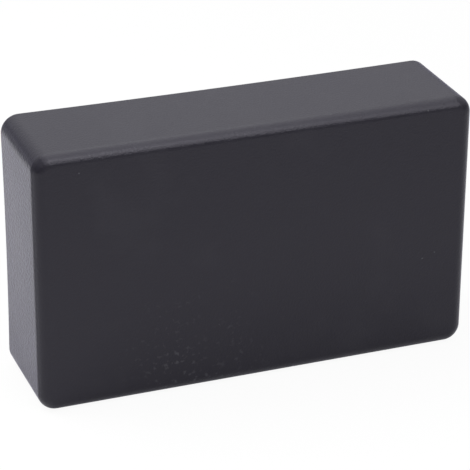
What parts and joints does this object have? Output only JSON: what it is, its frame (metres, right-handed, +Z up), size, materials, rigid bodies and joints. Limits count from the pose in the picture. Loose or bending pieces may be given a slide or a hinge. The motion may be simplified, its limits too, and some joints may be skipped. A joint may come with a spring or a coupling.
{
  "type": "demagnetizer",
  "caption": "Hand-held mains demagnetizer in a flat black box with a sprung push-button, an indicator lamp and a coil under the lid.",
  "frame": {"origin": "centre of the long narrow side that the box stands on", "axes": "+X along the box's length towards the mains inlet, +Y out of the lid with the button, +Z up"},
  "size_m": [0.1, 0.0296, 0.06],
  "materials": {
    "black_shell": "moulded ABS with a fine spark-eroded grain",
    "black_plastic": "smooth moulded insulating plastic",
    "white_nylon": "moulded natural nylon",
    "core_steel": "stamped silicon steel laminations",
    "zinc_steel": "zinc-plated steel",
    "black_steel": "blackened steel",
    "nickel": "nickel plate",
    "brass": "bare brass strip",
    "copper": "enamelled copper wire",
    "amber_tape": "polyester insulating tape",
    "red_button": "polished moulded plastic",
    "red_lens": "tinted diffused epoxy",
    "board_green": "solder-resist on glass-epoxy",
    "fuse_glass": "clear glass tube",
    "film_yellow": "moulded case",
    "resistor_blue": "dipped coating",
    "diode_black": "moulded epoxy",
    "spring_steel": "drawn spring wire",
    "wire_brown": "soft insulation",
    "wire_blue": "soft insulation",
    "wire_red": "soft insulation",
    "wire_white": "soft insulation"
  },
  "bodies": {
    "case": {"tub_housing": "black_shell", "lid": "black_shell", "lid_screw_1": "black_steel", "lid_screw_2": "black_steel", "lid_screw_3": "black_steel", "lid_screw_4": "black_steel", "core_laminations": "core_steel", "core_bracket": "zinc_steel", "bracket_screw_1": "zinc_steel", "bracket_screw_2": "zinc_steel", "coil_bobbin": "white_nylon", "coil_winding": "copper", "coil_tape": "amber_tape", "coil_pin_1": "nickel", "coil_pin_2": "nickel", "thermal_fuse": "nickel", "switch_body": "nickel", "switch_base": "black_plastic", "switch_washer": "zinc_steel", "switch_nut": "nickel", "switch_terminal_1": "brass", "switch_terminal_2": "brass", "button_spring": "spring_steel", "led_lamp": "red_lens", "led_bezel": "nickel", "led_spacer": "black_plastic", "led_lead_1": "nickel", "led_lead_2": "nickel", "circuit_board": "board_green", "board_screw_1": "zinc_steel", "board_screw_2": "zinc_steel", "fuse_tube": "fuse_glass", "fuse_cap_1": "nickel", "fuse_cap_2": "nickel", "fuse_clip_1": "brass", "fuse_clip_2": "brass", "film_capacitor": "film_yellow", "dropper_resistor": "resistor_blue", "diode": "diode_black", "inlet_body": "black_plastic", "inlet_pin_1": "nickel", "inlet_pin_2": "nickel", "wire_inlet_live": "wire_brown", "wire_inlet_neutral": "wire_blue", "wire_board_to_switch": "wire_brown", "wire_switch_to_board": "wire_red", "wire_switch_to_coil": "wire_red", "wire_thermal_to_coil": "wire_white", "wire_board_to_coil": "wire_blue"},
    "button": {"button_cap": "red_button", "contact_bridge": "brass"}
  },
  "joints": [
    {"name": "button_press", "type": "slide", "parent": "case", "child": "button", "axis": [0, -1, 0], "range_m": [0, 0.0025], "stiffness_N_per_m": 900, "springref_m": -0.0012, "deforming": ["button_spring"]}
  ]
}
